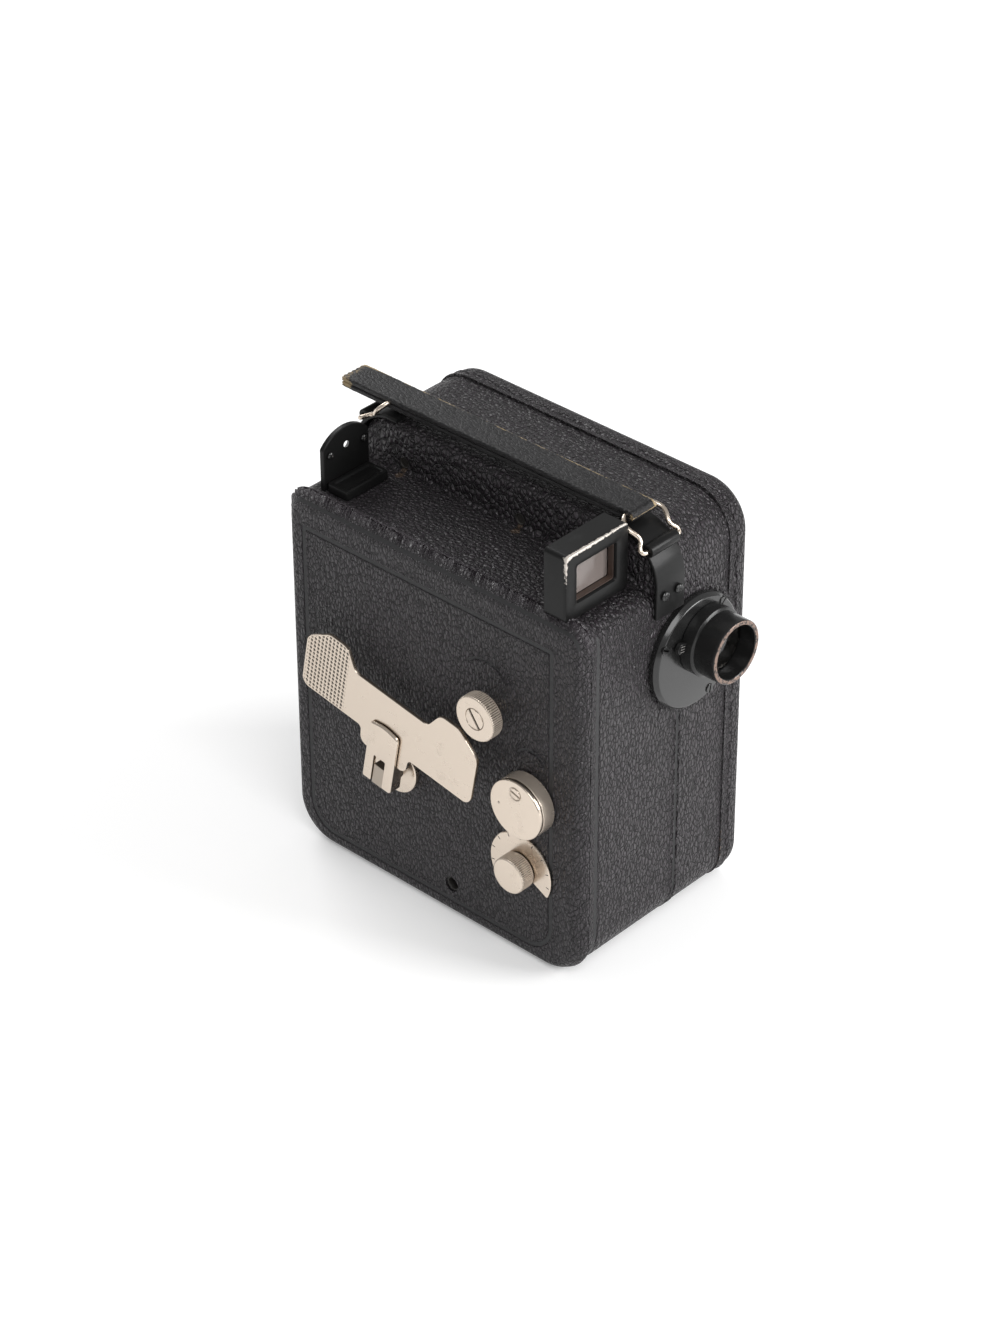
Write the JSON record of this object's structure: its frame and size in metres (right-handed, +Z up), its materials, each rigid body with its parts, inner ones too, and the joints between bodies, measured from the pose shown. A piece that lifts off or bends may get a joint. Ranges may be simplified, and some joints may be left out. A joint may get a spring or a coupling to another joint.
{
  "type": "cine camera",
  "caption": "Leather-covered clockwork box cine camera with a lens tube on an eccentric flange, folding winding key, finder, sight and carrying strap.",
  "frame": {"origin": "middle of the casing's footprint, on the bottom face", "axes": "+Z up, -Y out of the lens, -X out of the winding side"},
  "size_m": [0.0841, 0.1315, 0.1379],
  "materials": {
    "leather": "black pebbled leather glued over a metal case",
    "enamel": "black enamel, worn at the edges",
    "nickel": "warm nickel plate, lightly worn",
    "steel": "bare steel",
    "brass": "bare brass",
    "aluminium": "plain aluminium plate",
    "glass": "clear optical glass",
    "hide": "dark strap leather with tan frayed edges"
  },
  "bodies": {
    "casing": {"body_shell": "leather", "side_cover": "leather", "door_pin": "steel", "centre_plate": "aluminium", "lock_post": "steel", "lens_flange": "enamel", "flange_screw_1": "nickel", "flange_screw_2": "nickel", "flange_screw_3": "nickel", "finder_frame": "enamel", "finder_glass": "glass", "sight_base": "enamel", "sight_plate": "enamel", "sight_rivet_left": "nickel", "sight_rivet_right": "nickel", "front_bracket": "enamel", "front_bracket_screw_left": "enamel", "front_bracket_screw_right": "enamel", "rear_bracket": "enamel", "rear_bracket_screw_left": "enamel", "rear_bracket_screw_right": "enamel", "winding_boss": "nickel", "speed_dial": "nickel", "socket_bush": "enamel", "tripod_bush": "brass", "click_stud": "steel", "gate_plate": "steel", "feed_spindle": "steel"},
    "door": {"film_door": "leather"},
    "door_lock": {"lock_knob": "nickel"},
    "lens_tube": {"lens_barrel": "enamel", "front_lens": "glass", "iris_disc": "enamel"},
    "front_wire": {"front_loop": "nickel"},
    "rear_wire": {"rear_loop": "nickel"},
    "strap_band": {"strap": "hide"},
    "winding": {"winding_shaft": "nickel", "ratchet_wheel": "steel"},
    "key": {"key_pin": "steel", "key_bracket": "nickel", "key_plate": "nickel"},
    "release": {"release_knob": "nickel", "release_cap": "nickel", "cap_screw": "nickel"},
    "counter": {"counter_knob": "nickel", "counter_screw": "nickel"},
    "speed": {"speed_knob": "nickel"},
    "motor": {"spring_barrel": "brass", "mainspring": "steel"},
    "second": {"second_wheel": "brass"},
    "third": {"third_wheel": "brass"},
    "governor_body": {"governor": "brass"},
    "shutter": {"shutter_disc": "enamel"},
    "takeup": {"takeup_spool": "enamel", "takeup_spindle": "steel"},
    "feed": {"feed_spool": "enamel"},
    "click_body": {"click": "steel"},
    "claw_body": {"claw": "steel"},
    "pressure": {"pressure_plate": "steel"}
  },
  "joints": [
    {"name": "door_swing", "type": "hinge", "parent": "casing", "child": "door", "pos_m": [0.02775, 0.057, 0.06], "axis": [0, 0, 1], "range_deg": [0, 110]},
    {"name": "lock_turn", "type": "hinge", "parent": "door", "child": "door_lock", "pos_m": [0.03455, -0.008, 0.066], "axis": [1, 0, 0], "range_deg": [0, 90]},
    {"name": "stop_turn", "type": "hinge", "parent": "casing", "child": "lens_tube", "pos_m": [0.0128, -0.055, 0.095], "axis": [0, -1, 0], "range_deg": [-50, 70]},
    {"name": "strap_lift", "type": "slide", "parent": "casing", "child": "strap_band", "axis": [0, 0, 1], "range_m": [0, 0.0008]},
    {"name": "front_wire_swing", "type": "hinge", "parent": "casing", "child": "front_wire", "pos_m": [0, -0.05273, 0.12903], "axis": [1, 0, 0], "range_deg": [0, 10]},
    {"name": "rear_wire_swing", "type": "hinge", "parent": "casing", "child": "rear_wire", "pos_m": [0, 0.05273, 0.12903], "axis": [-1, 0, 0], "range_deg": [0, 10]},
    {"name": "winding_turn", "type": "hinge", "parent": "casing", "child": "winding", "pos_m": [-0.03455, 0.0135, 0.0425], "axis": [-1, 0, 0], "continuous": true},
    {"name": "key_fold", "type": "hinge", "parent": "winding", "child": "key", "pos_m": [-0.04105, 0.0135, 0.0425], "axis": [0, -0.9839, -0.1788], "range_deg": [0, 90]},
    {"name": "release_turn", "type": "hinge", "parent": "casing", "child": "release", "pos_m": [-0.03455, -0.037, 0.055], "axis": [-1, 0, 0], "range_deg": [-35, 35]},
    {"name": "counter_turn", "type": "hinge", "parent": "casing", "child": "counter", "pos_m": [-0.03455, -0.0237, 0.08], "axis": [-1, 0, 0], "continuous": true},
    {"name": "speed_turn", "type": "hinge", "parent": "casing", "child": "speed", "pos_m": [-0.03455, -0.034, 0.0306], "axis": [-1, 0, 0], "range_deg": [-110, 110]},
    {"name": "motor_turn", "type": "hinge", "parent": "casing", "child": "motor", "pos_m": [-0.03455, 0.0135, 0.0425], "axis": [-1, 0, 0], "continuous": true},
    {"name": "second_turn", "type": "hinge", "parent": "casing", "child": "second", "pos_m": [-0.03455, -0.01358, 0.06958], "axis": [-1, 0, 0], "continuous": true},
    {"name": "third_turn", "type": "hinge", "parent": "casing", "child": "third", "pos_m": [-0.03455, -0.02864, 0.08464], "axis": [-1, 0, 0], "continuous": true},
    {"name": "governor_turn", "type": "hinge", "parent": "casing", "child": "governor_body", "pos_m": [-0.03455, -0.0091, 0.08629], "axis": [-1, 0, 0], "continuous": true},
    {"name": "shutter_turn", "type": "hinge", "parent": "casing", "child": "shutter", "pos_m": [0.0045, -0.0475, 0.08464], "axis": [0, -1, 0], "continuous": true},
    {"name": "takeup_turn", "type": "hinge", "parent": "casing", "child": "takeup", "pos_m": [0.0128, 0.024, 0.0345], "axis": [-1, 0, 0], "continuous": true},
    {"name": "feed_turn", "type": "hinge", "parent": "casing", "child": "feed", "pos_m": [0.0128, 0.024, 0.1], "axis": [-1, 0, 0], "continuous": true},
    {"name": "click_lift", "type": "hinge", "parent": "casing", "child": "click_body", "pos_m": [-0.03455, 0.003, 0.0306], "axis": [-1, 0, 0], "range_deg": [0, 12], "stiffness_Nm_per_rad": 0.02, "springref_deg": -5.73},
    {"name": "claw_stroke", "type": "slide", "parent": "casing", "child": "claw_body", "axis": [0, 0, -1], "range_m": [0, 0.004]},
    {"name": "pressure_slide", "type": "slide", "parent": "casing", "child": "pressure", "axis": [0, 1, 0], "range_m": [0, 0.0025], "stiffness_N_per_m": 150, "springref_m": -0.001}
  ],
  "couplings": [
    {"joint": "front_wire_swing", "follows": "strap_lift", "rad_per_m": 117},
    {"joint": "rear_wire_swing", "follows": "strap_lift", "rad_per_m": 117},
    {"joint": "second_turn", "follows": "motor_turn", "ratio": -3.75},
    {"joint": "third_turn", "follows": "motor_turn", "ratio": 7.5},
    {"joint": "governor_turn", "follows": "motor_turn", "ratio": 17.5},
    {"joint": "shutter_turn", "follows": "motor_turn", "ratio": 17.308},
    {"joint": "takeup_turn", "follows": "motor_turn", "ratio": 1.5}
  ]
}
